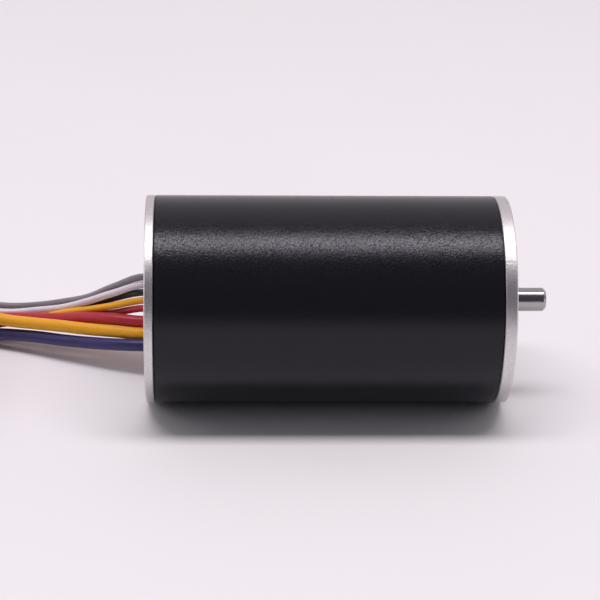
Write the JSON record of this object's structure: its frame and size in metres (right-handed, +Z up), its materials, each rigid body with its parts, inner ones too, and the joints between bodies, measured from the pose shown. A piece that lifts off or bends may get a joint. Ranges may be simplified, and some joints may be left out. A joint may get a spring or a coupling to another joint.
{
  "type": "brushless dc motor",
  "caption": "Cylindrical brushless dc motor with a black tube, silver end rims, a plain round shaft and coloured phase and sensor leads.",
  "frame": {"origin": "on the shaft axis, in the front mounting face of the flange", "axes": "+X is the shaft axis and points out of the front, +Y points sideways to the side where the leads come out, +Z points up; the motor lies on its tube"},
  "size_m": [0.1323, 0.0413, 0.035],
  "materials": {
    "black_anodised": "black anodised, satin",
    "machined_rim": "bare, finely bead blasted",
    "black_nylon": "moulded",
    "lamination_steel": "varnished",
    "insulating_film": "film",
    "enamelled_copper": "enamelled",
    "moulded_plastic": "moulded",
    "bare_copper": "drawn",
    "board_laminate": "solder mask",
    "sensor_package": "moulded",
    "solder": "tinned",
    "brass_screw": "turned",
    "ground_shaft": "ground",
    "spring_steel": "blued",
    "magnet": "nickel plated",
    "retainer_fibre": "wound fibre",
    "brass_disc": "turned",
    "bearing_steel": "ground",
    "brass_cage": "turned",
    "bearing_ball": "polished",
    "shield_steel": "pressed",
    "red_insulation": "extruded",
    "yellow_insulation": "extruded",
    "blue_insulation": "extruded",
    "grey_insulation": "extruded",
    "white_insulation": "extruded",
    "black_insulation": "extruded"
  },
  "bodies": {
    "stator": {"housing_tube": "black_anodised", "front_flange": "machined_rim", "rear_cover": "machined_rim", "wire_grommet": "black_nylon", "stator_stack": "lamination_steel", "insulation_sleeve": "insulating_film", "winding_phase_u": "enamelled_copper", "winding_phase_v": "enamelled_copper", "winding_phase_w": "enamelled_copper", "front_coil_support": "moulded_plastic", "rear_coil_support": "moulded_plastic", "winding_pins": "bare_copper", "hall_board": "board_laminate", "hall_sensors": "sensor_package", "solder_pads": "solder", "board_screws": "brass_screw", "preload_washer": "spring_steel", "front_bearing_outer_ring": "bearing_steel", "front_bearing_shields": "shield_steel", "rear_bearing_outer_ring": "bearing_steel", "rear_bearing_shields": "shield_steel", "phase_lead_red": "red_insulation", "phase_coil_red": "red_insulation", "phase_lead_yellow": "yellow_insulation", "phase_coil_yellow": "yellow_insulation", "phase_lead_blue": "blue_insulation", "phase_coil_blue": "blue_insulation", "hall_lead_grey": "grey_insulation", "hall_coil_grey": "grey_insulation", "hall_lead_white": "white_insulation", "hall_coil_white": "white_insulation", "hall_lead_black": "black_insulation", "hall_coil_black": "black_insulation", "hall_lead_yellow": "yellow_insulation", "hall_coil_yellow": "yellow_insulation", "hall_lead_red": "red_insulation", "hall_coil_red": "red_insulation", "lead_tips": "solder", "coil_ties": "black_nylon"},
    "rotor": {"shaft": "ground_shaft", "shaft_clip": "spring_steel", "rotor_magnet": "magnet", "magnet_retainer": "retainer_fibre", "front_balance_disc": "brass_disc", "rear_balance_disc": "brass_disc", "sensor_magnet": "magnet", "front_spacer": "bearing_steel", "rear_spacer": "bearing_steel", "front_bearing_inner_ring": "bearing_steel", "rear_bearing_inner_ring": "bearing_steel"},
    "front_cage": {"front_bearing_cage": "brass_cage", "front_bearing_balls": "bearing_ball"},
    "rear_cage": {"rear_bearing_cage": "brass_cage", "rear_bearing_balls": "bearing_ball"}
  },
  "joints": [
    {"name": "rotor_spin", "type": "hinge", "parent": "stator", "child": "rotor", "pos_m": [0, 0, 0], "axis": [1, 0, 0], "continuous": true},
    {"name": "front_cage_spin", "type": "hinge", "parent": "stator", "child": "front_cage", "pos_m": [-0.0037, 0, 0], "axis": [1, 0, 0], "continuous": true},
    {"name": "rear_cage_spin", "type": "hinge", "parent": "stator", "child": "rear_cage", "pos_m": [-0.0569, 0, 0], "axis": [1, 0, 0], "continuous": true}
  ],
  "couplings": [
    {"joint": "front_cage_spin", "follows": "rotor_spin", "ratio": 0.37059},
    {"joint": "rear_cage_spin", "follows": "rotor_spin", "ratio": 0.37059}
  ]
}
